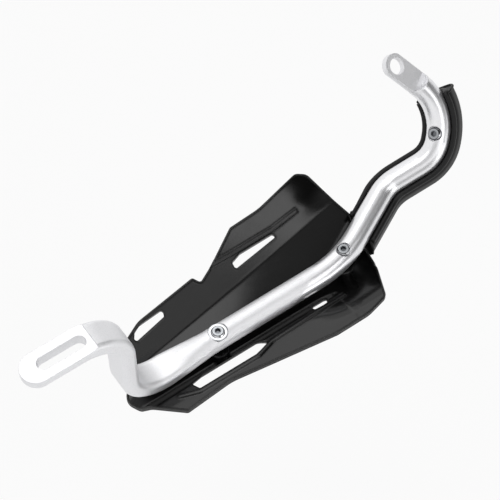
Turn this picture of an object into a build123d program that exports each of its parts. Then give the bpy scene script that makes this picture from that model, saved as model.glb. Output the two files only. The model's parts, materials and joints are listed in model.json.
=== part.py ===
from build123d import *
import os

# Motorcycle hand guard: a bent aluminium bar, a moulded shield in front of it, a channel-shaped
# cover on the bar's inner end, and the screws and threaded inserts that hold them. Millimetres.
# The origin is the centre of the slot in the bar's outer foot, on the face that bolts to the
# handlebar's end. +X runs along the bar towards the clamp eye, +Z points out of the foot's face,
# towards the rider, and +Y towards the shield's taller edge.

os.makedirs("parts", exist_ok=True)

# Bar: round stock and its flattened outer end
bar_diameter = 18.0
bar_drop = 103.0  # foot's face to the axis of the straight run
flat_width = 23.0
flat_thickness = 12.5
flat_corner = 4.0
foot_bend_radius = 33.0  # foot to riser, at the middle of the flat
riser_bend_radius = 29.0  # riser to straight run
riser_x = 42.0  # slot's centre to the middle of the riser
flat_lead = 4.0  # straight flat between the riser's bend and the taper
round_start_x = 110.0  # slot's centre to the place where the rod is round again

# Bar: foot
slot_length = 36.0
slot_width = 10.0
slot_margin = 12.0  # metal beyond the slot's outer end
foot_relief = 3.0  # depth that the foot's face is milled
relief_margin = 3.6  # milled face beyond the slot's inner end

# Bar: corners of the bent inner end, the first measured from the outer screw on the bar's axis
# and each of the others from the corner before it
outer_screw_x = 119.0  # slot's centre to the outer screw
bend_1 = (110.0, 0.0, 0.0)
bend_2_step = (64.0, 32.0, 6.0)
bend_3_step = (39.0, -7.0, 15.0)
bend_4_step = (22.5, 21.0, 24.0)
eye_step = (-24.5, 31.0, 30.0)
bend_radii = [100.0, 26.0, 26.0, 40.0]

# Bar: clamp eye
eye_diameter = 12.5
eye_thickness = 5.0
eye_turn = 65.0  # degrees that the flats are turned about the bar
eye_shoulder = 25.0  # eye's centre to the end of the milled flats
eye_tip = 10.0  # eye's centre to the bar's tip
eye_cutter_radius = 11.0  # curve of the milled shoulder

# Screws and inserts
thread_diameter = 6.0
screw_clearance = 0.6
head_diameter = 10.5
head_height = 3.3
dome_radius = 6.0
flange_diameter = 13.6
flange_height = 1.5
hex_across_flats = 4.0
hex_depth = 2.2
seat_depth = 2.75  # depth of the flats milled on the bar under heads and bosses
seat_clearance = 0.4
insert_diameter = 8.0
insert_length = 8.0
cover_insert_length = 6.0
insert_clearance = 0.05
screw_end_gap = 0.5  # thread's end to the insert's far end
inner_screw_run = 123.0  # along the bar from the place where the rod is round again
cover_screw_run = 247.0

# Shield: section, measured from the bar's axis
shield_wall = 3.0
trough_floor = 16.0
trough_half_width = 9.0
trough_slope = 0.30
lower_edge_y = 16.0
lower_edge_drop = 8.0
lower_slope = 0.27
upper_slope = 0.62
crease_y = 27.0  # at the outer screw
crease_spread = 0.143  # sideways run of the crease along the bar
inner_trough_slope = 0.42
inner_upper_slope = 0.50
shield_fold_radius = 5.0
blank_half_width = 90.0
blank_stations = (-90.0, 60.0, 155.0)
outer_boss_diameter = 14.0
boss_diameter = 12.0
boss_root = 1.5  # depth of the bosses' ends in the shield's floor

# Shield: outline from the outer screw, as x, y and corner radius
shield_end = [(142.0, 33.0), (135.3, -7.5)]  # straight edge beside the cover
shield_end_radius = 1.5
shield_outline = [
    (-56.0, 36.0, 6.0),
    (-40.0, 43.0, 25.0),
    (11.5, 50.0, 2.5),
    (15.5, 45.0, 2.5),
    (28.0, 50.5, 8.0),
    (55.5, 65.5, 4.0),
    (82.0, 67.0, 60.0),
    (121.0, 75.0, 7.0),
    (129.0, 71.0, 7.0),
    (*shield_end[0], shield_end_radius),
    (*shield_end[1], shield_end_radius),
    (119.0, -41.0, 7.0),
    (100.0, -46.0, 30.0),
    (72.0, -46.0, 4.0),
    (10.0, -35.5, 60.0),
    (-10.0, -32.0, 40.0),
    (-49.0, -35.0, 2.5),
    (-72.0, -10.5, 9.0),
    (-78.0, 2.0, 9.0),
    (-62.0, 20.0, 12.0),
]

# Shield: vent slots from the outer screw, as corner points and a corner radius
vent_radius = 1.6
vents = [
    [(44.0, 41.5), (84.5, 46.5), (82.0, 49.5), (53.0, 49.0), (44.0, 46.5)],
    [(-50.5, 32.5), (-21.0, 38.0), (-19.0, 43.0), (-44.0, 41.0)],
    [(-34.0, -16.5), (-31.5, -23.5), (16.5, -24.0), (30.0, -20.5), (23.0, -14.5), (-24.0, -14.0)],
    [(70.5, -17.5), (83.0, -18.5), (87.0, -13.0), (75.0, -12.5)],
]

# Shield: raised beads beside the vents, as points along their middle
bead_width = 3.0
bead_height = 1.2
bead_bend_radius = 6.0
upper_bead = [(22.0, 51.5), (46.0, 51.0), (84.0, 51.5), (108.0, 54.0)]
lower_bead = [(-48.0, -20.0), (-33.0, -26.0), (16.0, -26.5), (32.0, -21.5), (70.0, -20.5), (98.0, -20.0)]

# Cover: channel section round the bar
cover_wall = 4.8
cover_depth = 16.0  # bar's axis to the cover's front
cover_lip = 1.2  # depth of the lips' tops under the bar's axis
cover_corner = 5.0
cover_fit = 0.4
cover_gap = 0.15  # between the cover's end and the shield
cover_sweep_run = 132.0  # along the bar from the place where the rod is round again
cover_end_run = 273.5

bar_radius = bar_diameter / 2
seat_height = bar_radius - seat_depth
axis_origin = Vector(outer_screw_x, 0, -bar_drop)
shield_plane = Plane(origin=axis_origin, x_dir=(1, 0, 0), z_dir=(0, 0, 1))
foot_middle_z = foot_relief - flat_thickness / 2
foot_end_x = -slot_length / 2 - slot_margin
flat_end_x = riser_x + riser_bend_radius + flat_lead
frame_steps = 200
reach = 2 * bar_diameter  # longer than any cut through the bar

# The bar's axis from the place where the rod is round to the tip beyond the eye
bar_corners = [axis_origin + Vector(*bend_1)]
for bend_step in (bend_2_step, bend_3_step, bend_4_step):
    bar_corners.append(bar_corners[-1] + Vector(*bend_step))
eye_centre = bar_corners[-1] + Vector(*eye_step)
eye_run = Vector(*eye_step).normalized()
with BuildLine() as bar_line:
    FilletPolyline(
        Vector(round_start_x, 0, -bar_drop),
        *bar_corners,
        eye_centre + eye_run * eye_tip,
        radius=bend_radii,
    )
bar_wire = bar_line.wire()


def carried(up, before, after):
    """The direction that up becomes when the bar turns from one direction to the next, untwisted."""
    return up - (before + after) * (up.dot(after) / (1 + before.dot(after)))


def bar_frame(run):
    """The plane at a length along the bar's axis, with x along the bar and z to the rider's side."""
    up = Vector(0, 0, 1)
    before = bar_wire.tangent_at(0)
    share = run / bar_wire.length
    for step in range(1, frame_steps + 1):
        after = bar_wire.tangent_at(share * step / frame_steps)
        up = carried(up, before, after)
        before = after
    return Plane(origin=bar_wire.position_at(share), x_dir=before, z_dir=up)


outer_screw_plane = shield_plane
inner_screw_plane = bar_frame(inner_screw_run)
cover_screw_plane = bar_frame(cover_screw_run)
eye_frame = bar_frame(bar_wire.length - eye_tip)
eye_normal = eye_frame.z_dir.rotate(Axis((0, 0, 0), eye_frame.x_dir), eye_turn)
eye_plane = Plane(origin=eye_frame.origin, x_dir=eye_frame.x_dir, z_dir=eye_normal)

# Guard bar
outer_flat_corners = [
    (flat_end_x, 0, -bar_drop),
    (riser_x, 0, -bar_drop),
    (riser_x, 0, foot_middle_z),
    (foot_end_x + flat_width / 2, 0, foot_middle_z),
]
round_section_plane = Plane(origin=(round_start_x, 0, -bar_drop), x_dir=(0, 1, 0), z_dir=(1, 0, 0))
flat_section_plane = Plane(origin=(flat_end_x, 0, -bar_drop), x_dir=(0, 1, 0), z_dir=(1, 0, 0))
foot_end_plane = Plane(
    origin=(foot_end_x + flat_width / 2, 0, foot_middle_z), x_dir=(0, 1, 0), z_dir=(1, 0, 0)
)
# The round section's arcs answer one to one to the flat section's sides and corners
side_arc = 30.0
top_arc = 60.0
corner_arc = (180.0 - side_arc - top_arc) / 2
straight_y = flat_width / 2 - flat_corner
straight_z = flat_thickness / 2 - flat_corner

with BuildPart() as guard_bar:
    with BuildSketch(round_section_plane):
        Circle(bar_radius)
    sweep(path=bar_wire)
    with BuildLine() as outer_flat_line:
        FilletPolyline(*outer_flat_corners, radius=[riser_bend_radius, foot_bend_radius])
    with BuildSketch(flat_section_plane):
        RectangleRounded(flat_width, flat_thickness, flat_corner)
    sweep(path=outer_flat_line.wire())
    with BuildSketch(round_section_plane):
        with BuildLine():
            start = -side_arc / 2
            for arc in (side_arc, corner_arc, top_arc, corner_arc) * 2:
                CenterArc((0, 0), bar_radius, start, arc)
                start += arc
        make_face()
    with BuildSketch(flat_section_plane):
        with BuildLine():
            for side in (1, -1):
                edge_y = side * flat_width / 2
                edge_z = side * flat_thickness / 2
                Line((edge_y, -side * straight_z), (edge_y, side * straight_z))
                CenterArc((side * straight_y, side * straight_z), flat_corner, 90 - side * 90, 90)
                Line((side * straight_y, edge_z), (-side * straight_y, edge_z))
                CenterArc((-side * straight_y, side * straight_z), flat_corner, 180 - side * 90, 90)
        make_face()
    loft()
    with BuildSketch(foot_end_plane):
        RectangleRounded(flat_width, flat_thickness, flat_corner)
        with Locations((-flat_width / 2, 0)):
            Rectangle(flat_width, flat_thickness, mode=Mode.SUBTRACT)
    revolve(axis=Axis(foot_end_plane.origin, (0, 0, 1)), revolution_arc=180)
    # Milled face of the foot, and its slot
    with BuildSketch(Plane.XY):
        with Locations((slot_length / 2 + relief_margin, 0)):
            Rectangle(2 * slot_length, 2 * flat_width, align=(Align.MAX, Align.CENTER))
    extrude(amount=flat_thickness, mode=Mode.SUBTRACT)
    with BuildSketch(Plane.XY):
        SlotOverall(slot_length, slot_width)
    extrude(amount=-2 * flat_thickness, mode=Mode.SUBTRACT)
    # Clamp eye: two milled flats with curved shoulders, a round tip and the hole
    for side in (1, -1):
        with BuildSketch(eye_plane.offset(side * eye_thickness / 2)):
            with Locations((-eye_shoulder + eye_cutter_radius, 0)):
                Circle(eye_cutter_radius)
                Rectangle(2 * eye_shoulder, reach, align=(Align.MIN, Align.CENTER))
        extrude(amount=side * bar_diameter, mode=Mode.SUBTRACT)
    with BuildSketch(eye_plane):
        with Locations((eye_tip - bar_radius, 0)):
            Rectangle(reach, reach, align=(Align.MIN, Align.CENTER))
            Circle(bar_radius, mode=Mode.SUBTRACT)
    extrude(amount=bar_diameter, both=True, mode=Mode.SUBTRACT)
    with Locations(eye_plane):
        Cylinder(eye_diameter / 2, reach, mode=Mode.SUBTRACT)
    # Seats and clearance holes for the three screws
    for plane, head, boss in (
        (outer_screw_plane, flange_diameter, outer_boss_diameter),
        (inner_screw_plane, head_diameter, boss_diameter),
        (cover_screw_plane, head_diameter, boss_diameter),
    ):
        with Locations(plane):
            Cylinder((thread_diameter + screw_clearance) / 2, reach, mode=Mode.SUBTRACT)
        with Locations(plane.offset(seat_height)):
            Cylinder(
                head / 2 + seat_clearance, bar_radius, align=(Align.CENTER, Align.CENTER, Align.MIN),
                mode=Mode.SUBTRACT,
            )
        with Locations(plane.offset(-seat_height)):
            Cylinder(
                boss / 2 + seat_clearance, bar_radius, align=(Align.CENTER, Align.CENTER, Align.MAX),
                mode=Mode.SUBTRACT,
            )
guard_bar.part.label = "guard_bar"
export_step(guard_bar.part, "parts/guard_bar.step")


def shield_section(x):
    """Corners of the shield's rider-side line across the bar at a place along it."""
    inner_share = max(0.0, (x - blank_stations[1]) / (blank_stations[2] - blank_stations[1]))
    floor_slope = trough_slope + (inner_trough_slope - trough_slope) * inner_share
    wing_slope = upper_slope + (inner_upper_slope - upper_slope) * inner_share
    fold_y = crease_y + crease_spread * x
    fold_z = -trough_floor + (fold_y - trough_half_width) * floor_slope
    return [
        (-blank_half_width, -lower_edge_drop + (blank_half_width - lower_edge_y) * lower_slope),
        (-lower_edge_y, -lower_edge_drop),
        (-trough_half_width, -trough_floor),
        (trough_half_width, -trough_floor),
        (fold_y, fold_z),
        (blank_half_width, fold_z + (blank_half_width - fold_y) * wing_slope),
    ]


# Shield blank: one folded wall, wider and longer than the outline
with BuildPart() as shield_blank:
    for x in blank_stations:
        section_plane = Plane(origin=axis_origin + Vector(x, 0, 0), x_dir=(0, 1, 0), z_dir=(1, 0, 0))
        corners = shield_section(x)
        back = [(y, z - shield_wall) for y, z in corners]
        with BuildSketch(section_plane):
            with BuildLine():
                FilletPolyline(*corners, radius=shield_fold_radius)
                FilletPolyline(*back, radius=shield_fold_radius)
                Line(corners[0], back[0])
                Line(corners[-1], back[-1])
            make_face()
    loft()

# Raised beads: strips of the same wall, lifted towards the rider
with BuildPart() as beads:
    for bead in (upper_bead, lower_bead):
        with BuildSketch(shield_plane.offset(-blank_half_width)):
            with BuildLine():
                FilletPolyline(*bead, radius=bead_bend_radius)
            trace(line_width=bead_width)
    extrude(amount=2 * blank_half_width)
    add(shield_blank.part.moved(Location((0, 0, bead_height))), mode=Mode.INTERSECT)

# Shield
with BuildPart() as shield:
    add(shield_blank.part)
    add(beads.part)
    with BuildSketch(shield_plane.offset(-blank_half_width)):
        with BuildLine():
            FilletPolyline(
                *[(x, y) for x, y, _ in shield_outline],
                radius=[radius for _, _, radius in shield_outline],
                close=True,
            )
        make_face()
    extrude(amount=2 * blank_half_width, mode=Mode.INTERSECT)
    for vent in vents:
        with BuildSketch(shield_plane.offset(-blank_half_width)):
            with BuildLine():
                FilletPolyline(*vent, radius=vent_radius, close=True)
            make_face()
        extrude(amount=2 * blank_half_width, mode=Mode.SUBTRACT)
    for plane, boss in ((outer_screw_plane, outer_boss_diameter), (inner_screw_plane, boss_diameter)):
        with Locations(plane.offset(-seat_height)):
            Cylinder(
                boss / 2, trough_floor + boss_root - seat_height,
                align=(Align.CENTER, Align.CENTER, Align.MAX),
            )
            Cylinder(
                insert_diameter / 2 + insert_clearance, insert_length,
                align=(Align.CENTER, Align.CENTER, Align.MAX), mode=Mode.SUBTRACT,
            )
shield.part.label = "shield"
export_step(shield.part, "parts/shield.step")

# Cover
cover_wire = bar_wire.trim(cover_sweep_run / bar_wire.length, cover_end_run / bar_wire.length)
cover_sweep = bar_frame(cover_sweep_run)
cover_plane = Plane(origin=cover_sweep.origin, x_dir=cover_sweep.y_dir, z_dir=cover_sweep.x_dir)
shield_edge = (Vector(*shield_end[0]) - Vector(*shield_end[1])).normalized()
cover_start_normal = shield_edge.rotate(Axis.Z, -90)
cover_start_plane = Plane(
    origin=axis_origin + Vector(*shield_end[1]) + cover_start_normal * cover_gap,
    x_dir=shield_edge, z_dir=cover_start_normal,
)
groove_radius = bar_radius + cover_fit
with BuildPart() as bar_cover:
    with BuildSketch(cover_plane) as channel:
        with Locations((0, -cover_lip)):
            Rectangle(
                2 * (groove_radius + cover_wall), cover_depth - cover_lip, align=(Align.CENTER, Align.MAX)
            )
        fillet(channel.vertices().group_by(Axis.Z)[0], cover_corner)
        Circle(groove_radius, mode=Mode.SUBTRACT)
    sweep(path=cover_wire)
    split(bisect_by=cover_start_plane, keep=Keep.TOP)
    with Locations(cover_screw_plane.offset(-seat_height)):
        Cylinder(
            boss_diameter / 2, cover_insert_length + boss_root,
            align=(Align.CENTER, Align.CENTER, Align.MAX),
        )
        Cylinder(
            insert_diameter / 2 + insert_clearance, cover_insert_length,
            align=(Align.CENTER, Align.CENTER, Align.MAX), mode=Mode.SUBTRACT,
        )
bar_cover.part.label = "bar_cover"
export_step(bar_cover.part, "parts/bar_cover.step")


def make_screw(plane, length, flange):
    """A dome-headed hex-socket screw, its head or flange seated on the bar's rider side."""
    seat = plane.offset(seat_height)
    profile = Plane(origin=seat.origin, x_dir=seat.x_dir, z_dir=-seat.y_dir)
    rim_radius = flange_diameter / 2 if flange else head_diameter / 2
    dome_base = flange_height if flange else 0.0
    shank = thread_diameter / 2
    with BuildPart() as screw:
        with BuildSketch(profile):
            with BuildLine():
                Polyline((0, head_height), (0, -length), (shank, -length), (shank, 0), (rim_radius, 0))
                if flange:
                    Polyline(
                        (rim_radius, 0), (rim_radius, flange_height), (head_diameter / 2, flange_height)
                    )
                dome = RadiusArc(
                    (head_diameter / 2, dome_base), (hex_across_flats, head_height), -dome_radius
                )
                Line(dome @ 1, (0, head_height))
            make_face()
        revolve(axis=Axis(seat.origin, seat.z_dir))
        with BuildSketch(seat.offset(head_height)):
            RegularPolygon(hex_across_flats / 2, 6, major_radius=False)
        extrude(amount=-hex_depth, mode=Mode.SUBTRACT)
    return screw


def make_insert(plane, length):
    """A threaded insert whose open end is flush with the boss on the bar's seat."""
    with BuildPart() as insert:
        with Locations(plane.offset(-seat_height)):
            Cylinder(insert_diameter / 2, length, align=(Align.CENTER, Align.CENTER, Align.MAX))
            Cylinder(
                thread_diameter / 2 + insert_clearance, length,
                align=(Align.CENTER, Align.CENTER, Align.MAX), mode=Mode.SUBTRACT,
            )
    return insert


# Screws and their inserts
shield_screw_length = 2 * seat_height + insert_length - screw_end_gap
cover_screw_length = 2 * seat_height + cover_insert_length - screw_end_gap
fasteners = {
    "shield_screw_outer": make_screw(outer_screw_plane, shield_screw_length, flange=True),
    "shield_screw_inner": make_screw(inner_screw_plane, shield_screw_length, flange=False),
    "cover_screw": make_screw(cover_screw_plane, cover_screw_length, flange=False),
    "outer_insert": make_insert(outer_screw_plane, insert_length),
    "inner_insert": make_insert(inner_screw_plane, insert_length),
    "cover_insert": make_insert(cover_screw_plane, cover_insert_length),
}
for name, fastener in fasteners.items():
    fastener.part.label = name
    export_step(fastener.part, f"parts/{name}.step")
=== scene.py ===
"""Looks of a motorcycle hand guard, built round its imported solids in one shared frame, in metres."""

import json
import logging
import math
from dataclasses import dataclass, field
from enum import Enum
from typing import Any

import bmesh
import bpy
from mathutils import Matrix, Vector
from mathutils.bvhtree import BVHTree
from mathutils.geometry import barycentric_transform

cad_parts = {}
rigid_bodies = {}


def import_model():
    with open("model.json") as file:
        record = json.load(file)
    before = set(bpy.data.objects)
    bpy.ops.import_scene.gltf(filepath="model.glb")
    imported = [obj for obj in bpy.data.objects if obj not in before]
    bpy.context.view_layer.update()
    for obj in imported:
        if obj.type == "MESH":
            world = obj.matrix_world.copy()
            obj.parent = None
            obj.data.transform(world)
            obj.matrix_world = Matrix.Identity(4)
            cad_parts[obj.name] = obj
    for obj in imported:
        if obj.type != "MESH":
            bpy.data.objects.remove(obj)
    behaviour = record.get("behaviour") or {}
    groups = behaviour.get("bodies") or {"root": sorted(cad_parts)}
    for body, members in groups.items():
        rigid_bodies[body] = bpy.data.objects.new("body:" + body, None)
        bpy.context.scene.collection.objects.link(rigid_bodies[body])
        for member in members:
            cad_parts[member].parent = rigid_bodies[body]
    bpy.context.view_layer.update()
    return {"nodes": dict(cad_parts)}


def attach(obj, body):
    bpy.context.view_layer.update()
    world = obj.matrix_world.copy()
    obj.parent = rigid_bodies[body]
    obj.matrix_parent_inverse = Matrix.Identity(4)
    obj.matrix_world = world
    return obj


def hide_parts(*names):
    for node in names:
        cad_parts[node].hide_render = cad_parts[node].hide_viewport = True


LOG = logging.getLogger("hand_guard")
MM = 0.001
BODY = "root"
BAR_NODE = "guard_bar"
WHITE = "#FFFFFF"
WELD_REACH = 0.002 * MM  # between corners that are one in the solid
PROBE = 0.05 * MM  # step over which a slope is measured
WAVE_RATE = 20.0  # radians that a wave texture runs through in one unit, at a scale of one
MIX_SHARE, MIX_FIRST, MIX_SECOND, MIX_RESULT = 0, 6, 7, 2  # a Mix node's sockets for colours

Pair = tuple[float, float]
Triple = tuple[float, float, float]
Place = tuple[Triple, Triple]  # a fastener's middle and axis


class Slot(Enum):
    """The record's material slots, passed along with the new pieces but not read."""

    SHIELD = "shield_plastic"
    COVER = "cover_plastic"


class Ray(Enum):
    """Kinds of ray that the light path tells apart."""

    CAMERA = "Is Camera Ray"
    GLOSSY = "Is Glossy Ray"
    TRANSMISSION = "Is Transmission Ray"


def linear(hex_colour: str) -> tuple[float, float, float, float]:
    """Turns an sRGB hex colour into linear light, by the standard's own curve.

    Args:
        hex_colour: Six hex digits after a hash sign.

    Returns:
        The colour's red, green, blue and an alpha of one.
    """
    channels = [int(hex_colour[i:i + 2], 16) / 255 for i in (1, 3, 5)]
    light = [c / 12.92 if c <= 0.04045 else ((c + 0.055) / 1.055) ** 2.4 for c in channels]
    return (light[0], light[1], light[2], 1.0)


def add_node(tree: bpy.types.NodeTree, kind: str, inputs: dict[Any, Any] | None = None,
             **settings: Any) -> bpy.types.Node:
    """Adds a node with its settings, and links or sets its inputs.

    Args:
        tree: The tree that gets the node.
        kind: The node's type name.
        inputs: Sockets' names or numbers, each with a socket to link or a value to set.
        **settings: The node's own properties.

    Returns:
        The new node.
    """
    node = tree.nodes.new(kind)
    for name, value in settings.items():
        setattr(node, name, value)
    for key, value in (inputs or {}).items():
        if isinstance(value, bpy.types.NodeSocket):
            tree.links.new(value, node.inputs[key])
        else:
            node.inputs[key].default_value = value
    return node


def new_material(name: str) -> tuple[bpy.types.Material, bpy.types.NodeTree, bpy.types.Node]:
    """Starts a material on an empty tree.

    Args:
        name: The material's name.

    Returns:
        The material, its tree and its shader, which is already linked to the output.
    """
    material = bpy.data.materials.new(name)
    material.use_nodes = True
    tree = material.node_tree
    tree.nodes.clear()
    shader = add_node(tree, "ShaderNodeBsdfPrincipled")
    add_node(tree, "ShaderNodeOutputMaterial", {"Surface": shader.outputs["BSDF"]})
    return material, tree, shader


def mixed_colour(tree: bpy.types.NodeTree, share: bpy.types.NodeSocket, first: str,
                 second: str | bpy.types.NodeSocket) -> bpy.types.NodeSocket:
    """Adds a mix of two colours.

    Args:
        tree: The material's tree.
        share: The second colour's share.
        first: The first colour, as an sRGB hex.
        second: The second colour, as an sRGB hex or as a socket.

    Returns:
        The mixed colour.
    """
    mix = add_node(tree, "ShaderNodeMix", {
        MIX_SHARE: share, MIX_FIRST: linear(first),
        MIX_SECOND: linear(second) if isinstance(second, str) else second}, data_type="RGBA")
    return mix.outputs[MIX_RESULT]


def smooth_step(share: float) -> float:
    """Eases from 0 to 1, level at both ends and beyond them."""
    share = min(1.0, max(0.0, share))
    return share * share * (3 - 2 * share)


def dress(piece: bpy.types.Object, material: bpy.types.Material) -> None:
    """Gives a piece one material in all its slots."""
    piece.data.materials.clear()
    piece.data.materials.append(material)


@dataclass(frozen=True)
class MouldedPlastic:
    """Injection-moulded black plastic: a fine pebble grain, satin, with faint flow and rub marks."""

    name: str
    colour: str
    rub_colour: str
    roughness: float
    roughness_spread: float
    grain_size: float = 0.7 * MM  # the real grain is about 0.2 mm, too fine for the render
    grain_height: float = 0.012 * MM
    flow_size: float = 22 * MM
    flow_range: Pair = (0.3, 0.7)  # noise levels over which the roughness spreads
    rub_length: float = 50 / 3 * MM
    rub_width: float = 10 / 9 * MM
    rub_range: Pair = (0.62, 0.78)  # noise levels over which a rub mark comes up
    crease_radius: float = 2.8 * MM
    ior: float = 1.46

    def build(self) -> bpy.types.Material:
        """Makes the plastic's material.

        Returns:
            The material.
        """
        material, tree, shader = new_material(self.name)
        shader.inputs["IOR"].default_value = self.ior
        place = add_node(tree, "ShaderNodeTexCoord").outputs["Object"]
        grain = add_node(tree, "ShaderNodeTexNoise", {
            "Vector": place, "Scale": 1 / self.grain_size, "Detail": 3.0, "Roughness": 0.6})
        flow = add_node(tree, "ShaderNodeTexNoise", {
            "Vector": place, "Scale": 1 / self.flow_size, "Detail": 4.0, "Distortion": 0.6})
        rubs = add_node(tree, "ShaderNodeMapping", {
            "Vector": place, "Scale": (1 / self.rub_length, 1 / self.rub_width, 1 / self.rub_width)})
        rub_noise = add_node(tree, "ShaderNodeTexNoise", {
            "Vector": rubs.outputs["Vector"], "Scale": 1.0, "Detail": 2.0})
        rub_mask = add_node(tree, "ShaderNodeMapRange", {
            "Value": rub_noise.outputs["Fac"], "From Min": self.rub_range[0],
            "From Max": self.rub_range[1]})
        shade = mixed_colour(tree, rub_mask.outputs["Result"], self.colour, self.rub_colour)
        spread = add_node(tree, "ShaderNodeMapRange", {
            "Value": flow.outputs["Fac"], "From Min": self.flow_range[0], "From Max": self.flow_range[1],
            "To Min": self.roughness - self.roughness_spread,
            "To Max": self.roughness + self.roughness_spread})
        crease = add_node(tree, "ShaderNodeBevel", {"Radius": self.crease_radius}, samples=8)
        bump = add_node(tree, "ShaderNodeBump", {
            "Height": grain.outputs["Fac"], "Distance": self.grain_height, "Strength": 1.0,
            "Normal": crease.outputs["Normal"]})
        tree.links.new(shade, shader.inputs["Base Color"])
        tree.links.new(spread.outputs["Result"], shader.inputs["Roughness"])
        tree.links.new(bump.outputs["Normal"], shader.inputs["Normal"])
        return material


@dataclass(frozen=True)
class PolishedAluminium:
    """Drawn aluminium rod, bent and polished: bright, with soft waves, and duller where it is milled."""

    name: str = "polished_drawn_aluminium"
    colour: str = "#ECECEE"
    speck_colour: str = "#E0E1E3"
    roughness: float = 0.30
    bare: float = 0.85  # the rest is a whitish oxide haze
    milled_roughness: float = 0.50
    speck_size: float = 0.7 * MM  # the specks are about 0.2 mm, drawn coarser to show
    speck_range: Pair = (0.52, 0.68)  # noise levels over which a speck's colour comes up
    speck_spread: Pair = (0.35, 0.65)  # noise levels over which the specks change the roughness
    speck_roughness: float = 0.02  # how far they change it, either way
    wave_size: float = 9 * MM
    wave_height: float = 0.05 * MM
    pit_depth: float = 0.05 * MM
    edge_radius: float = 0.5 * MM
    eye_place: Triple = (330 * MM, 77 * MM, -28 * MM)
    eye_along: Triple = (-0.493842, 0.624862, 0.604705)
    eye_shoulder: float = 25 * MM  # from the eye's middle back to where its milled flats begin
    shoulder_blend: float = 1 * MM

    def build(self) -> bpy.types.Material:
        """Makes the bar's material.

        Returns:
            The material.
        """
        material, tree, shader = new_material(self.name)
        shader.inputs["Metallic"].default_value = self.bare
        place = add_node(tree, "ShaderNodeTexCoord").outputs["Object"]
        speck = add_node(tree, "ShaderNodeTexNoise", {
            "Vector": place, "Scale": 1 / self.speck_size, "Detail": 3.0, "Roughness": 0.65})
        wave = add_node(tree, "ShaderNodeTexNoise", {
            "Vector": place, "Scale": 1 / self.wave_size, "Detail": 1.5})
        from_eye = add_node(
            tree, "ShaderNodeVectorMath", {0: place, 1: self.eye_place}, operation="SUBTRACT")
        along = add_node(tree, "ShaderNodeVectorMath", {
            0: from_eye.outputs["Vector"], 1: self.eye_along}, operation="DOT_PRODUCT")
        milled = add_node(tree, "ShaderNodeMapRange", {
            "Value": along.outputs["Value"], "From Min": -self.eye_shoulder - self.shoulder_blend,
            "From Max": -self.eye_shoulder + self.shoulder_blend})
        finish = add_node(tree, "ShaderNodeMapRange", {
            "Value": milled.outputs["Result"], "To Min": self.roughness, "To Max": self.milled_roughness})
        speckled = add_node(tree, "ShaderNodeMapRange", {
            "Value": speck.outputs["Fac"], "From Min": self.speck_spread[0],
            "From Max": self.speck_spread[1], "To Min": -self.speck_roughness,
            "To Max": self.speck_roughness})
        rough = add_node(tree, "ShaderNodeMath", {
            0: finish.outputs["Result"], 1: speckled.outputs["Result"]}, operation="ADD")
        mask = add_node(tree, "ShaderNodeMapRange", {
            "Value": speck.outputs["Fac"], "From Min": self.speck_range[0],
            "From Max": self.speck_range[1]})
        shade = mixed_colour(tree, mask.outputs["Result"], self.colour, self.speck_colour)
        edge = add_node(tree, "ShaderNodeBevel", {"Radius": self.edge_radius}, samples=4)
        blasted = add_node(tree, "ShaderNodeMath", {
            0: speck.outputs["Fac"], 1: milled.outputs["Result"]}, operation="MULTIPLY")
        pits = add_node(tree, "ShaderNodeBump", {
            "Height": blasted.outputs["Value"], "Distance": self.pit_depth, "Strength": 1.0,
            "Normal": edge.outputs["Normal"]})
        bump = add_node(tree, "ShaderNodeBump", {
            "Height": wave.outputs["Fac"], "Distance": self.wave_height, "Strength": 1.0,
            "Normal": pits.outputs["Normal"]})
        tree.links.new(shade, shader.inputs["Base Color"])
        tree.links.new(rough.outputs["Value"], shader.inputs["Roughness"])
        tree.links.new(bump.outputs["Normal"], shader.inputs["Normal"])
        return material


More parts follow.
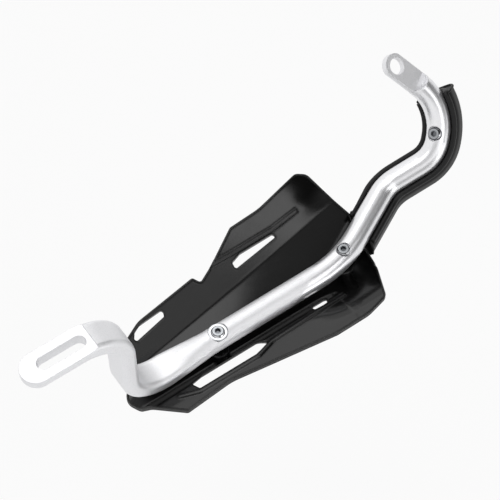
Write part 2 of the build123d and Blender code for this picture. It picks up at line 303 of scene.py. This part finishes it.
@dataclass(frozen=True)
class TurnedMetal:
    """Turned stainless steel or brass: bright, with soft rings about the piece's own axis."""

    name: str
    colour: str
    groove_colour: str
    roughness: float
    centre: Triple
    axis: Triple
    socket_radius: float = 0.0  # of a hex socket, whose inside gets a painted shade
    socket_blend: float = 0.1  # of that radius, either way, over which the painted shade fades
    ring_spacing: float = 1.6 * math.pi * MM  # drawn coarser: turning marks are 0.1 mm apart
    ring_height: float = 0.01 * MM
    roughness_range: Pair = (-0.05, 0.08)  # of the rings, added to the metal's own
    shoulder_radius: float = 4.0 * MM  # of the painted shade line round the dome's foot
    shoulder_width: float = 0.35 * MM
    # painted shade, in the socket's inside and round the dome's foot
    painted_shade_colour: str = "#66686B"

    def build(self) -> bpy.types.Material:
        """Makes the metal's material, with its rings about the piece's axis, and painted shade in a screw's
        socket and round its dome's foot.

        Returns:
            The material.
        """
        material, tree, shader = new_material(self.name)
        shader.inputs["Metallic"].default_value = 1.0
        turn = Vector((0, 0, 1)).rotation_difference(Vector(self.axis)).inverted()
        place = add_node(tree, "ShaderNodeTexCoord").outputs["Object"]
        moved = add_node(tree, "ShaderNodeVectorMath", {0: place, 1: self.centre}, operation="SUBTRACT")
        turned = add_node(tree, "ShaderNodeMapping", {
            "Vector": moved.outputs["Vector"], "Rotation": tuple(turn.to_euler())})
        rings = add_node(tree, "ShaderNodeTexWave", {
            "Vector": turned.outputs["Vector"], "Scale": 2 * math.pi / (WAVE_RATE * self.ring_spacing),
            "Distortion": 0.4, "Detail": 1.0}, wave_type="RINGS", rings_direction="Z")
        rough = add_node(tree, "ShaderNodeMapRange", {
            "Value": rings.outputs["Fac"], "To Min": self.roughness + self.roughness_range[0],
            "To Max": self.roughness + self.roughness_range[1]})
        shade = mixed_colour(tree, rings.outputs["Fac"], self.colour, self.groove_colour)
        # Painted shade: the socket's inside and a thin ring round the dome's foot take a dark colour.
        if self.socket_radius:
            flat = add_node(tree, "ShaderNodeVectorMath", {
                0: turned.outputs["Vector"], 1: (1.0, 1.0, 0.0)}, operation="MULTIPLY")
            reach = add_node(tree, "ShaderNodeVectorMath", {0: flat.outputs["Vector"]}, operation="LENGTH")
            outside = add_node(tree, "ShaderNodeMapRange", {
                "Value": reach.outputs["Value"], "From Min": (1 - self.socket_blend) * self.socket_radius,
                "From Max": (1 + self.socket_blend) * self.socket_radius})
            from_ring = add_node(tree, "ShaderNodeMath", {
                0: reach.outputs["Value"], 1: self.shoulder_radius, 2: self.shoulder_width},
                operation="COMPARE")
            off_ring = add_node(tree, "ShaderNodeMath", {
                0: 1.0, 1: from_ring.outputs["Value"]}, operation="SUBTRACT")
            unshaded = add_node(tree, "ShaderNodeMath", {
                0: outside.outputs["Result"], 1: off_ring.outputs["Value"]}, operation="MULTIPLY")
            shade = mixed_colour(tree, unshaded.outputs["Value"], self.painted_shade_colour, shade)
        bump = add_node(tree, "ShaderNodeBump", {
            "Height": rings.outputs["Fac"], "Distance": self.ring_height, "Strength": 1.0})
        tree.links.new(shade, shader.inputs["Base Color"])
        tree.links.new(rough.outputs["Result"], shader.inputs["Roughness"])
        tree.links.new(bump.outputs["Normal"], shader.inputs["Normal"])
        return material


def ride_on_body(name: str, mesh: bpy.types.Mesh, slot: Slot) -> bpy.types.Object:
    """Makes a piece of a finished mesh, which rides on the part's one body.

    Args:
        name: The piece's name.
        mesh: Its mesh, in the part's frame.
        slot: The record's slot for its finish; not used.

    Returns:
        The piece.
    """
    piece = bpy.data.objects.new(name, mesh)
    bpy.context.scene.collection.objects.link(piece)
    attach(piece, BODY)
    return piece


def welded_copy(solid: bpy.types.Object) -> bmesh.types.BMesh:
    """Copies a CAD node's mesh as one connected shell.

    Args:
        solid: The CAD node.

    Returns:
        The shell, as an edit mesh.
    """
    shell = bmesh.new()
    shell.from_mesh(solid.data)
    bmesh.ops.remove_doubles(shell, verts=shell.verts, dist=WELD_REACH)
    return shell


def middle(edge: bmesh.types.BMEdge) -> Vector:
    """The middle of an edge."""
    return (edge.verts[0].co + edge.verts[1].co) / 2


class SurfaceNormals:
    """The smooth normals of a CAD node's faces, for a copy of it that is cut into other facets."""

    shortest = 0.5  # a shorter blend of corner normals gives way to the facet's own

    def __init__(self, solid: bpy.types.Object) -> None:
        """Reads the node's triangles and their corner normals.

        Args:
            solid: The CAD node.
        """
        mesh = solid.data
        mesh.calc_loop_triangles()
        places = [vertex.co.copy() for vertex in mesh.vertices]
        facets = [tuple(facet.vertices) for facet in mesh.loop_triangles]
        self.corners = [[places[i] for i in facet] for facet in facets]
        self.normals = [
            [mesh.corner_normals[i].vector.copy() for i in facet.loops] for facet in mesh.loop_triangles]
        self.tree = BVHTree.FromPolygons(places, facets)

    def at(self, place: Vector) -> Vector:
        """The surface's normal nearest to a point.

        Args:
            place: The point, on the surface or close to it.

        Returns:
            The normal, with a length of one.
        """
        nearest, flat_normal, facet, _ = self.tree.find_nearest(place)
        normal = barycentric_transform(nearest, *self.corners[facet], *self.normals[facet])
        return normal.normalized() if normal.length > self.shortest else flat_normal


@dataclass
class FoldFade:
    """The fading of the shield's lower fold into one soft curve, towards its inner end."""

    origin: Vector  # on the bar, at the outer screw
    solid: bpy.types.Object
    start: float = 62 * MM  # along the bar from the origin
    length: float = 38 * MM  # along the bar, over which the fold fades
    section: float = 106 * MM  # along the bar, where the fold's own section is measured
    near: float = -2 * MM  # across the bar, where the soft curve begins
    far: float = -40 * MM
    drop: float = 100 * MM  # height over the origin from which the section is measured
    samples: int = 190
    end_samples: int = 10  # over which the slope at the far end is measured
    facet: float = 2 * MM
    flattest: float = 0.3  # least height of a normal that turns with the wall
    heights: list[float] = field(init=False)  # of the fold's own section, from near to far
    rise: float = field(init=False)  # of the section over the curve's width, at the slope of its far end

    def __post_init__(self) -> None:
        """Measures the fold's own section."""
        tree = SurfaceNormals(self.solid).tree
        step = (self.far - self.near) / self.samples
        tops = [
            self.origin + Vector((self.section, self.near + step * i, self.drop))
            for i in range(self.samples + 1)]
        self.heights = [tree.ray_cast(top, Vector((0, 0, -1)))[0].z for top in tops]
        last = self.heights[-1] - self.heights[-1 - self.end_samples]
        self.rise = last * self.samples / self.end_samples

    def share(self, across: float) -> float:
        """How far across the soft curve a point lies, from 0 to 1."""
        return min(1.0, max(0.0, (across - self.near) / (self.far - self.near)))

    def weight(self, run: float) -> float:
        """How far the fold has faded, from 0 to 1."""
        return smooth_step((run - self.start) / self.length)

    def curve(self, across: float) -> float:
        """Finds the soft curve's height, which leaves level and arrives at the section's slope.

        Args:
            across: The way across the bar from the origin.

        Returns:
            The height, in the part's frame.
        """
        share = self.share(across)
        climb = smooth_step(share) * (self.heights[-1] - self.heights[0])
        return self.heights[0] + climb + (share ** 3 - share * share) * self.rise

    def depth(self, across: float) -> float:
        """Finds how far the fold's own section stands above the soft curve.

        Args:
            across: The way across the bar from the origin.

        Returns:
            The height between the two.
        """
        spot = self.share(across) * self.samples
        below = min(self.samples - 1, int(spot))
        own = self.heights[below] + (spot - below) * (self.heights[below + 1] - self.heights[below])
        return own - self.curve(across)

    def amount(self, place: Vector) -> float:
        """How far a point of the wall moves down."""
        run, across, _ = place - self.origin
        return self.weight(run) * self.depth(across)

    def turned(self, place: Vector, normal: Vector) -> Vector:
        """The normal that a point of the wall has after the fading.

        Args:
            place: The point before the fading.
            normal: Its normal before the fading.

        Returns:
            The new normal.
        """
        run, across, _ = place - self.origin
        weight = self.weight(run)
        if weight == 0.0 or not 0.0 < self.share(across) < 1.0 or abs(normal.z) < self.flattest:
            return normal
        climb = (self.curve(across + PROBE) - self.curve(across - PROBE)) / (2 * PROBE)
        change = (self.weight(run + PROBE) - self.weight(run - PROBE)) / (2 * PROBE)
        slope_x = -normal.x / normal.z - change * self.depth(across)
        slope_y = (1 - weight) * -normal.y / normal.z + weight * climb
        turned = Vector((-slope_x, -slope_y, 1)).normalized()
        return turned if normal.z > 0 else -turned

    def cuts(self) -> list[tuple[Vector, Vector]]:
        """The planes that cut the wall into facets small enough to move.

        Returns:
            A point on each plane, and its normal.
        """
        planes = [
            (self.origin + Vector((0, self.near - self.facet * step, 0)), Vector((0, 1, 0)))
            for step in range(round((self.near - self.far) / self.facet) + 1)]
        planes += [
            (self.origin + Vector((self.start + self.facet * step, 0, 0)), Vector((1, 0, 0)))
            for step in range(round(self.length / self.facet) + 1)]
        return planes


@dataclass(frozen=True)
class InnerCurl:
    """The bend of the shield's taller wing away from the rider, and the fading of its lower fold."""

    origin: Vector  # on the bar, at the outer screw
    fade: FoldFade
    start: float = 92 * MM  # along the bar from the origin
    curve: float = 2.5  # half the bend's curvature, per metre
    crease: float = 27 * MM  # across the bar, at the origin
    crease_spread: float = 0.143  # the crease's slant against the bar
    blend: float = 22 * MM  # across the bar, over which the bend sets in
    blend_facets: int = 6
    facet: float = 3 * MM
    facets: int = 17
    away: Vector = Vector((0.3040, 0.4341, -0.8480))  # the way that the wall moves

    def amount(self, place: Vector) -> float:
        """Finds how far a point of the wall moves away from the rider.

        Args:
            place: The point before the bend.

        Returns:
            The way that it moves.
        """
        run, across, _ = place - self.origin
        weight = smooth_step((across - self.crease - self.crease_spread * run) / self.blend)
        beyond = max(0.0, run - self.start)
        return weight * self.curve * beyond * beyond - self.fade.amount(place) / self.away.z

    def turned(self, place: Vector, normal: Vector) -> Vector:
        """The normal that a point of the wall has after the bend.

        Args:
            place: The point before the bend.
            normal: Its normal before the bend.

        Returns:
            The new normal.
        """
        if place.y < self.origin.y:
            return self.fade.turned(place, normal)
        here = self.amount(place)
        slope = Vector((
            (self.amount(place + Vector((PROBE, 0, 0))) - here) / PROBE,
            (self.amount(place + Vector((0, PROBE, 0))) - here) / PROBE, 0))
        return (normal - slope * (self.away.dot(normal) / (1 + self.away.dot(slope)))).normalized()

    def cuts(self) -> list[tuple[Vector, Vector]]:
        """The planes that cut the flat wing into facets small enough to bend.

        Returns:
            A point on each plane, and its normal.
        """
        across = Vector((-self.crease_spread, 1, 0)).normalized()
        planes = [
            (self.origin + Vector((0, self.crease + self.blend * step / self.blend_facets, 0)), across)
            for step in range(self.blend_facets + 1)]
        planes += [
            (self.origin + Vector((self.start + self.facet * step, 0, 0)), Vector((1, 0, 0)))
            for step in range(self.facets)]
        return planes

    def apply(self, mesh: bpy.types.Mesh) -> None:
        """Bends a mesh of the shield."""
        for vertex in mesh.vertices:
            vertex.co += self.away * self.amount(vertex.co)


@dataclass
class EdgeRim:
    """The raised, rounded edge of a moulding, which follows the edges of its wall."""

    name: str
    slot: Slot
    radius: float
    beside: SurfaceNormals  # of the bar: edges close to it get no rim
    beside_gap: float = 0.3 * MM
    edge_angle: float = 0.75  # radians between the faces of an edge that gets the rim, at least
    inset: float = 0.0  # of the rim's middle, from the moulding's edge
    wall_height: float = 2 * MM  # lower walls, such as a bead's, get no rim
    shortest: float = 0.0  # shorter runs of edges, such as a vent's, get no rim
    sides: int = 10
    mark: str = "rim_edge"

    def long_chains(self, loose: set[bmesh.types.BMEdge]) -> set[bmesh.types.BMEdge]:
        """Keeps the edges that hang together over a long way, which leaves out those of vents.

        Args:
            loose: The edges to sort, which this empties.

        Returns:
            The edges of long chains.
        """
        kept = set()
        while loose:
            front = [loose.pop()]
            chain = set(front)
            while front:
                near = {other for corner in front.pop().verts for other in corner.link_edges} & loose
                loose -= near
                chain |= near
                front.extend(near)
            reach = [corner.co.x for edge in chain for corner in edge.verts]
            if max(reach) - min(reach) > self.shortest:
                kept |= chain
        return kept

    def sharp(self, edge: bmesh.types.BMEdge) -> bool:
        """True for an outer edge with a corner sharp enough for the rim."""
        return edge.is_manifold and edge.is_convex and edge.calc_face_angle() > self.edge_angle

    def to_bar(self, edge: bmesh.types.BMEdge) -> float:
        """The way from an edge's middle to the bar."""
        return self.beside.tree.find_nearest(middle(edge))[3]

    def outward(self, edge: bmesh.types.BMEdge) -> Vector | None:
        """Finds the way out of the moulding at an edge.

        Args:
            edge: One of the moulding's edges.

        Returns:
            The wall's normal, or nothing for an edge that gets no rim.
        """
        if self.to_bar(edge) < self.radius + self.beside_gap or not self.sharp(edge):
            return None
        wall = min(edge.link_faces, key=lambda face: abs(face.normal.z))
        foot, head = (corner.co for corner in edge.verts)
        area = max((corner.co - foot).cross(head - foot).length for corner in wall.verts)
        return wall.normal.copy() if area > self.wall_height * edge.calc_length() else None

    def seed(self, solid: bpy.types.Object) -> bpy.types.Object:
        """Copies a solid's shell and marks the edges that get the rim.

        Args:
            solid: The CAD node.

        Returns:
            An object for the node tree to work on.
        """
        shell = welded_copy(solid)
        ways = {edge: self.outward(edge) for edge in shell.edges}
        walls = {edge: way for edge, way in ways.items() if way}
        rim_edges = self.long_chains(set(walls))
        inward: dict[bmesh.types.BMVert, Vector] = {}
        for edge, outward in walls.items():
            if edge in rim_edges:
                for corner in edge.verts:
                    inward[corner] = inward.get(corner, Vector()) - outward
        for corner, direction in inward.items():
            corner.co += direction.normalized() * self.inset
        marks = [edge in rim_edges for edge in shell.edges]
        mesh = bpy.data.meshes.new(self.name + "_seed")
        shell.to_mesh(mesh)
        shell.free()
        layer = mesh.attributes.new(self.mark, "BOOLEAN", "EDGE")
        layer.data.foreach_set("value", marks)
        seed = bpy.data.objects.new(self.name + "_seed", mesh)
        bpy.context.scene.collection.objects.link(seed)
        return seed

    def tree(self, material: bpy.types.Material) -> tuple[bpy.types.NodeTree, dict[str, str]]:
        """Builds the node tree that runs a round rim along the marked edges.

        Args:
            material: The rim's material.

        Returns:
            The tree, and the identifiers of its inputs by name.
        """
        tree = bpy.data.node_groups.new(self.name + "_tree", "GeometryNodeTree")
        sockets = tree.interface
        sockets.new_socket("Geometry", in_out="INPUT", socket_type="NodeSocketGeometry")
        sockets.new_socket("Geometry", in_out="OUTPUT", socket_type="NodeSocketGeometry")
        kinds = {"Rim Radius": "NodeSocketFloat", "Sides": "NodeSocketInt"}
        identifiers = {
            name: sockets.new_socket(name, in_out="INPUT", socket_type=kind).identifier
            for name, kind in kinds.items()}
        source = add_node(tree, "NodeGroupInput")
        marked = add_node(
            tree, "GeometryNodeInputNamedAttribute", {"Name": self.mark}, data_type="BOOLEAN")
        paths = add_node(tree, "GeometryNodeMeshToCurve", {
            "Mesh": source.outputs["Geometry"], "Selection": marked.outputs["Attribute"]})
        profile = add_node(tree, "GeometryNodeCurvePrimitiveCircle", {
            "Resolution": source.outputs["Sides"], "Radius": source.outputs["Rim Radius"]})
        tube = add_node(tree, "GeometryNodeCurveToMesh", {
            "Curve": paths.outputs["Curve"], "Profile Curve": profile.outputs["Curve"],
            "Fill Caps": True})
        smooth = add_node(tree, "GeometryNodeSetShadeSmooth", {"Geometry": tube.outputs["Mesh"]})
        real = add_node(tree, "GeometryNodeRealizeInstances", {"Geometry": smooth.outputs["Geometry"]})
        dressed = add_node(tree, "GeometryNodeSetMaterial", {
            "Geometry": real.outputs["Geometry"], "Material": material})
        add_node(tree, "NodeGroupOutput", {"Geometry": dressed.outputs["Geometry"]})
        return tree, identifiers

    def build(self, solid: bpy.types.Object, material: bpy.types.Material,
              curl: InnerCurl | None) -> bpy.types.Object:
        """Makes the rim as a plain mesh that rides with the solid.

        Args:
            solid: The CAD node that has the edges.
            material: The rim's material.
            curl: The bend that the moulding gets, if any.

        Returns:
            The rim.
        """
        seed = self.seed(solid)
        tree, identifiers = self.tree(material)
        modifier = seed.modifiers.new("rim", "NODES")
        modifier.node_group = tree
        for name, value in (("Rim Radius", self.radius), ("Sides", self.sides)):
            modifier[identifiers[name]] = value
        graph = bpy.context.evaluated_depsgraph_get()
        mesh = bpy.data.meshes.new_from_object(seed.evaluated_get(graph))
        seed.modifiers.remove(modifier)
        bpy.data.objects.remove(seed)
        mesh.name = self.name
        if curl:
            curl.apply(mesh)
        return ride_on_body(self.name, mesh, self.slot)


@dataclass
class LipBead(EdgeRim):
    """A round bead on top of each lip of the cover, which follows the bar at a small gap."""

    facing: Vector = Vector((-0.4, -0.1, 0.9))  # the way that the lips' tops look
    level: float = 0.50  # least share of that way in a top's normal
    slant: float = 0.45  # greatest share of it in the way to the bar, which leaves out the cover's end
    groove_gap: float = 0.7 * MM  # from the bar to the lips' edges, at most

    def outward(self, edge: bmesh.types.BMEdge) -> Vector | None:
        """Finds the way to the bar at an edge of a lip.

        Args:
            edge: One of the cover's edges.

        Returns:
            The way to the bar, or nothing for an edge that gets no bead.
        """
        if self.to_bar(edge) > self.groove_gap or not self.sharp(edge):
            return None
        facing = self.facing.normalized()
        to_bar = -self.beside.at(middle(edge))
        top = max(face.normal.dot(facing) for face in edge.link_faces)
        return to_bar if top > self.level and abs(to_bar.dot(facing)) < self.slant else None


@dataclass
class GuardBar:
    """The bent bar, which keeps its solid."""

    finish: PolishedAluminium
    node: str = BAR_NODE

    def build(self, nodes: dict[str, bpy.types.Object]) -> None:
        """Dresses the bar."""
        dress(nodes[self.node], self.finish.build())
        LOG.info("%s dressed", self.node)


@dataclass
class Moulding:
    """A moulded plastic piece: its shell, and the rims along its edges."""

    node: str
    finish: MouldedPlastic
    slot: Slot
    rim_radius: float
    rim_inset: float
    rim_shortest: float
    curl: InnerCurl | None = None
    bead_radius: float = 0.0  # none without it
    bead_inset: float = 2.4 * MM
    bead_shortest: float = 40 * MM
    corner_inset: float = 0.02  # share of the way to its facet's middle at which a corner's normal is read

    def cut_shell(self, solid: bpy.types.Object) -> bpy.types.Mesh:
        """Copies the solid's shell, cut into triangles that are small enough to bend.

        Args:
            solid: The moulding's CAD node.

        Returns:
            The shell, still flat.
        """
        shell = welded_copy(solid)
        for place, normal in self.curl.cuts():
            everything = [*shell.verts, *shell.edges, *shell.faces]
            bmesh.ops.bisect_plane(shell, geom=everything, plane_co=place, plane_no=normal)
        for place, normal in self.curl.fade.cuts():
            faces = [face for face in shell.faces if min(corner.co.y for corner in face.verts) < place.y]
            edges = dict.fromkeys(edge for face in faces for edge in face.edges)
            corners = dict.fromkeys(corner for face in faces for corner in face.verts)
            below = [*faces, *edges, *corners]
            bmesh.ops.bisect_plane(shell, geom=below, plane_co=place, plane_no=normal)
        bmesh.ops.triangulate(shell, faces=shell.faces)
        mesh = bpy.data.meshes.new(self.node + "_shell")
        shell.to_mesh(mesh)
        shell.free()
        return mesh

    def bent_shell(self, solid: bpy.types.Object, material: bpy.types.Material) -> None:
        """Makes the bent shell that stands for the flat solid.

        Args:
            solid: The moulding's CAD node.
            material: The moulding's material.
        """
        mesh = self.cut_shell(solid)
        surface = SurfaceNormals(solid)
        normals = []
        for facet in mesh.polygons:
            for corner in facet.vertices:
                inside = mesh.vertices[corner].co.lerp(facet.center, self.corner_inset)
                normals.append(self.curl.turned(inside, surface.at(inside)))
        self.curl.apply(mesh)
        mesh.shade_smooth()
        mesh.normals_split_custom_set(normals)
        piece = ride_on_body(mesh.name, mesh, self.slot)
        dress(piece, material)
        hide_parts(self.node)
        LOG.info("%s with %d faces", piece.name, len(mesh.polygons))

    def build(self, nodes: dict[str, bpy.types.Object]) -> None:
        """Dresses the solid, or bends a shell that stands for it, and adds the rims.

        Args:
            nodes: The CAD nodes by name.
        """
        solid = nodes[self.node]
        material = self.finish.build()
        dress(solid, material)
        if self.curl:
            self.bent_shell(solid, material)
        bar = SurfaceNormals(nodes[BAR_NODE])
        rims = [EdgeRim(self.node + "_rim", self.slot, self.rim_radius, bar, inset=self.rim_inset,
                        shortest=self.rim_shortest)]
        if self.bead_radius:
            rims.append(LipBead(self.node + "_lip", self.slot, self.bead_radius, bar,
                                inset=self.bead_inset, shortest=self.bead_shortest))
        for rim in rims:
            piece = rim.build(solid, material, self.curl)
            LOG.info("%s with %d faces", piece.name, len(piece.data.polygons))


@dataclass
class Fasteners:
    """The three screws and their threaded inserts, each with its place and axis on the bar."""

    places: dict[str, Place]
    steel: tuple[str, str] = ("#D2D3D5", "#96999C")  # of the turned face and of its grooves
    steel_roughness: float = 0.2
    # of the screws' hex sockets, painted dark inside as shade
    socket_radius: float = 2.2 * MM
    brass: tuple[str, str] = ("#C9A55A", "#B08C42")
    brass_roughness: float = 0.3

    def build(self, nodes: dict[str, bpy.types.Object]) -> None:
        """Dresses every screw and insert with rings about its own axis.

        Args:
            nodes: The CAD nodes by name.
        """
        for name, place in self.places.items():
            if "insert" in name:
                finish = TurnedMetal(name + "_brass", *self.brass, self.brass_roughness, *place)
            else:
                finish = TurnedMetal(name + "_stainless", *self.steel, self.steel_roughness, *place,
                                     socket_radius=self.socket_radius)
            dress(nodes[name], finish.build())
            LOG.info("%s dressed", name)


@dataclass(frozen=True)
class Softbox:
    """A flat lamp that hangs level over the object, square to the camera, and shines straight down."""

    name: str
    across: Pair  # its left and right sides, to the camera's right of the part's origin
    along: Pair  # its near and far sides, away from the camera
    radiance: float


@dataclass(frozen=True)
class WallPatch:
    """A darker or brighter part of the studio's walls."""

    direction: Vector  # towards its middle
    edge: Pair  # nearness to the middle, as a cosine, where it begins and where it is full
    foot: Pair  # heights of direction between which it fades in
    light: float  # against the rest of the walls


@dataclass
class Studio:
    """White studio: a pale floor, soft lamps and the camera at the photograph's angle."""

    aim: Vector
    right: Vector
    back: Vector
    offset_right: float
    offset_up: float
    distance: float
    lens: float  # focal length and sensor in millimetres, as the camera takes them
    sensor: float = 36.0
    floor_height: float = -0.42
    floor_size: float = 8.0
    paper_colour: str = "#FAFAFA"
    shadow_share: float = 0.15  # of the paper's own light, with the guard's shadow, in what the camera sees
    wall_top: Pair = (0.58, 0.85)  # heights of direction between which the bright walls end
    ceiling_light: float = 0.40  # against the walls
    wall_patches: tuple[WallPatch, ...] = ()
    softboxes: tuple[Softbox, ...] = ()
    softbox_height: float = 0.60

    def camera(self) -> None:
        """Puts the camera at the photograph's angle and makes it the scene's."""
        up = self.back.cross(self.right)
        data = bpy.data.cameras.new("camera")
        data.lens = self.lens
        data.sensor_width = self.sensor
        eye = self.aim + self.right * self.offset_right + up * self.offset_up + self.back * self.distance
        camera = bpy.data.objects.new("camera", data)
        turn = Matrix((self.right, up, self.back)).transposed().to_4x4()
        camera.matrix_world = Matrix.Translation(eye) @ turn
        bpy.context.scene.collection.objects.link(camera)
        bpy.context.scene.camera = camera

    def seen_as_white(self, tree: bpy.types.NodeTree) -> bpy.types.NodeSocket:
        """Adds the mask of rays that see the studio as plain white.

        Args:
            tree: The floor's or the world's tree.

        Returns:
            One for camera, glossy and transmission rays.
        """
        path = add_node(tree, "ShaderNodeLightPath")
        two = add_node(tree, "ShaderNodeMath", {
            0: path.outputs[Ray.CAMERA.value], 1: path.outputs[Ray.GLOSSY.value]}, operation="MAXIMUM")
        three = add_node(tree, "ShaderNodeMath", {
            0: two.outputs["Value"], 1: path.outputs[Ray.TRANSMISSION.value]}, operation="MAXIMUM")
        return three.outputs["Value"]

    def floor(self) -> None:
        """Lays the pale floor."""
        half = self.floor_size / 2
        mesh = bpy.data.meshes.new("floor")
        square = ((-half, -half), (half, -half), (half, half), (-half, half))
        mesh.from_pydata([(x, y, self.floor_height) for x, y in square], [], [(0, 1, 2, 3)])
        floor = bpy.data.objects.new("floor", mesh)
        bpy.context.scene.collection.objects.link(floor)
        material = bpy.data.materials.new("white_paper")
        material.use_nodes = True
        tree = material.node_tree
        tree.nodes.clear()
        paper = add_node(tree, "ShaderNodeBsdfDiffuse", {"Color": linear(self.paper_colour)})
        white = add_node(tree, "ShaderNodeEmission", {"Color": linear(WHITE), "Strength": 1.0})
        glow = add_node(tree, "ShaderNodeMath", {
            0: self.seen_as_white(tree), 1: 1.0 - self.shadow_share}, operation="MULTIPLY")
        mix = add_node(tree, "ShaderNodeMixShader", {
            0: glow.outputs["Value"], 1: paper.outputs["BSDF"], 2: white.outputs["Emission"]})
        add_node(tree, "ShaderNodeOutputMaterial", {"Surface": mix.outputs["Shader"]})
        dress(floor, material)

    def world(self) -> None:
        """Makes the white surround, and the soft light that it gives."""
        world = bpy.data.worlds.new("studio")
        bpy.context.scene.world = world
        world.use_nodes = True
        tree = world.node_tree
        tree.nodes.clear()
        towards = add_node(tree, "ShaderNodeTexCoord").outputs["Generated"]
        parts = add_node(tree, "ShaderNodeSeparateXYZ", {"Vector": towards})
        ceiling = add_node(tree, "ShaderNodeMapRange", {
            "Value": parts.outputs["Z"], "From Min": self.wall_top[0], "From Max": self.wall_top[1],
            "To Min": 1.0, "To Max": self.ceiling_light}, interpolation_type="SMOOTHSTEP")
        light = ceiling.outputs["Result"]
        for patch in self.wall_patches:
            facing = add_node(tree, "ShaderNodeVectorMath", {
                0: towards, 1: patch.direction.normalized()}, operation="DOT_PRODUCT")
            near = add_node(tree, "ShaderNodeMapRange", {
                "Value": facing.outputs["Value"], "From Min": patch.edge[0], "From Max": patch.edge[1]},
                interpolation_type="SMOOTHSTEP")
            above = add_node(tree, "ShaderNodeMapRange", {
                "Value": parts.outputs["Z"], "From Min": patch.foot[0], "From Max": patch.foot[1]},
                interpolation_type="SMOOTHSTEP")
            inside = add_node(tree, "ShaderNodeMath", {
                0: near.outputs["Result"], 1: above.outputs["Result"]}, operation="MULTIPLY")
            level = add_node(tree, "ShaderNodeMapRange", {
                "Value": inside.outputs["Value"], "To Min": 1.0, "To Max": patch.light})
            light = add_node(tree, "ShaderNodeMath", {
                0: light, 1: level.outputs["Result"]}, operation="MULTIPLY").outputs["Value"]
        path = add_node(tree, "ShaderNodeLightPath")
        plain = add_node(tree, "ShaderNodeMath", {
            0: path.outputs[Ray.CAMERA.value], 1: path.outputs[Ray.TRANSMISSION.value]},
            operation="MAXIMUM")
        unseen = add_node(tree, "ShaderNodeMath", {0: 1.0, 1: plain.outputs["Value"]}, operation="SUBTRACT")
        strength = add_node(tree, "ShaderNodeMath", {
            0: light, 1: unseen.outputs["Value"], 2: plain.outputs["Value"]}, operation="MULTIPLY_ADD")
        surround = add_node(tree, "ShaderNodeBackground", {
            "Color": linear(WHITE), "Strength": strength.outputs["Value"]})
        add_node(tree, "ShaderNodeOutputWorld", {"Surface": surround.outputs["Background"]})

    def lamp(self, softbox: Softbox) -> None:
        """Hangs one softbox, which no camera ray sees.

        Args:
            softbox: The lamp's name, place, size and light.
        """
        data = bpy.data.lights.new(softbox.name, "AREA")
        data.shape = "RECTANGLE"
        data.size = softbox.across[1] - softbox.across[0]
        data.size_y = softbox.along[1] - softbox.along[0]
        data.energy = softbox.radiance * math.pi * data.size * data.size_y
        turn = Matrix.Rotation(math.atan2(self.right.y, self.right.x), 4, "Z")
        middle = Vector((sum(softbox.across) / 2, sum(softbox.along) / 2, self.softbox_height))
        lamp = bpy.data.objects.new(softbox.name, data)
        lamp.matrix_world = turn @ Matrix.Translation(middle)
        lamp.visible_camera = False
        bpy.context.scene.collection.objects.link(lamp)

    def build(self) -> None:
        """Sets up the view, floor, world and lamps."""
        bpy.context.scene.view_settings.view_transform = "Standard"
        self.camera()
        self.floor()
        self.world()
        for softbox in self.softboxes:
            self.lamp(softbox)
        LOG.info("studio ready")


def clear_start_scene() -> None:
    """Removes whatever the start-up scene holds."""
    for thing in list(bpy.data.objects):
        bpy.data.objects.remove(thing)


def main() -> None:
    """Builds the guard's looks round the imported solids."""
    logging.basicConfig(level=logging.INFO, format="%(name)s: %(message)s")
    clear_start_scene()
    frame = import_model()
    nodes = frame["nodes"]
    outer: Place = ((119 * MM, 0.0, -103 * MM), (0.0, 0.0, 1.0))
    inner: Place = ((232.637 * MM, 3.821 * MM, -102.284 * MM), (-0.0509, -0.0070, 0.9987))
    cover: Place = ((341.614 * MM, 34.137 * MM, -71.574 * MM), (-0.6943, -0.1713, 0.6990))
    origin = Vector(outer[0])
    GuardBar(PolishedAluminium()).build(nodes)
    Moulding(
        "shield", MouldedPlastic(
            "moulded_black_polypropylene", colour="#0A0A0A", rub_colour="#151514", roughness=0.12,
            roughness_spread=0.03),
        Slot.SHIELD, rim_radius=0.9 * MM, rim_inset=0.7 * MM, rim_shortest=70 * MM,
        curl=InnerCurl(origin, FoldFade(origin, nodes["shield"]))).build(nodes)
    Moulding(
        "bar_cover", MouldedPlastic(
            "moulded_black_nylon", colour="#0A0A0B", rub_colour="#151517", roughness=0.42,
            roughness_spread=0.05, ior=1.36),
        Slot.COVER, rim_radius=1.0 * MM, rim_inset=0.0, rim_shortest=0.0, bead_radius=2.1 * MM).build(nodes)
    Fasteners({
        "shield_screw_outer": outer, "shield_screw_inner": inner, "cover_screw": cover,
        "outer_insert": outer, "inner_insert": inner, "cover_insert": cover}).build(nodes)
    Studio(
        aim=origin, right=Vector((0.8192, -0.5736, 0.0)).normalized(),
        back=Vector((-0.3040, -0.4341, 0.8480)).normalized(), offset_right=22.72 * MM,
        offset_up=62.05 * MM, distance=1200 * MM, lens=121.68,
        wall_patches=(
            WallPatch(Vector((0.83, -0.45, 0.33)), edge=(0.60, 0.82), foot=(0.05, 0.22), light=0.05),
            WallPatch(Vector((0.32, -0.92, 0.20)), edge=(0.93, 0.985), foot=(-0.10, 0.0), light=4.0),
            WallPatch(Vector((-0.10, -0.97, 0.15)), edge=(0.92, 0.975), foot=(-0.10, 0.0), light=0.25),
        ),
        softboxes=(
            Softbox("overhead_near", across=(-0.30, 0.305), along=(0.06, 0.36), radiance=2.0),
            Softbox("overhead_far", across=(-0.16, 0.16), along=(0.36, 0.72), radiance=2.0),
            Softbox("side_panel", across=(0.76, 1.20), along=(-0.70, -0.12), radiance=2.0),
            Softbox("back_panel", across=(-0.40, 0.40), along=(0.86, 1.40), radiance=0.5),
            Softbox("front_panel", across=(0.35, 0.72), along=(-0.40, -0.10), radiance=0.95),
            Softbox("front_strip", across=(0.60, 0.87), along=(-0.10, 0.12), radiance=2.5),
        )).build()


if __name__ == "__main__":
    main()
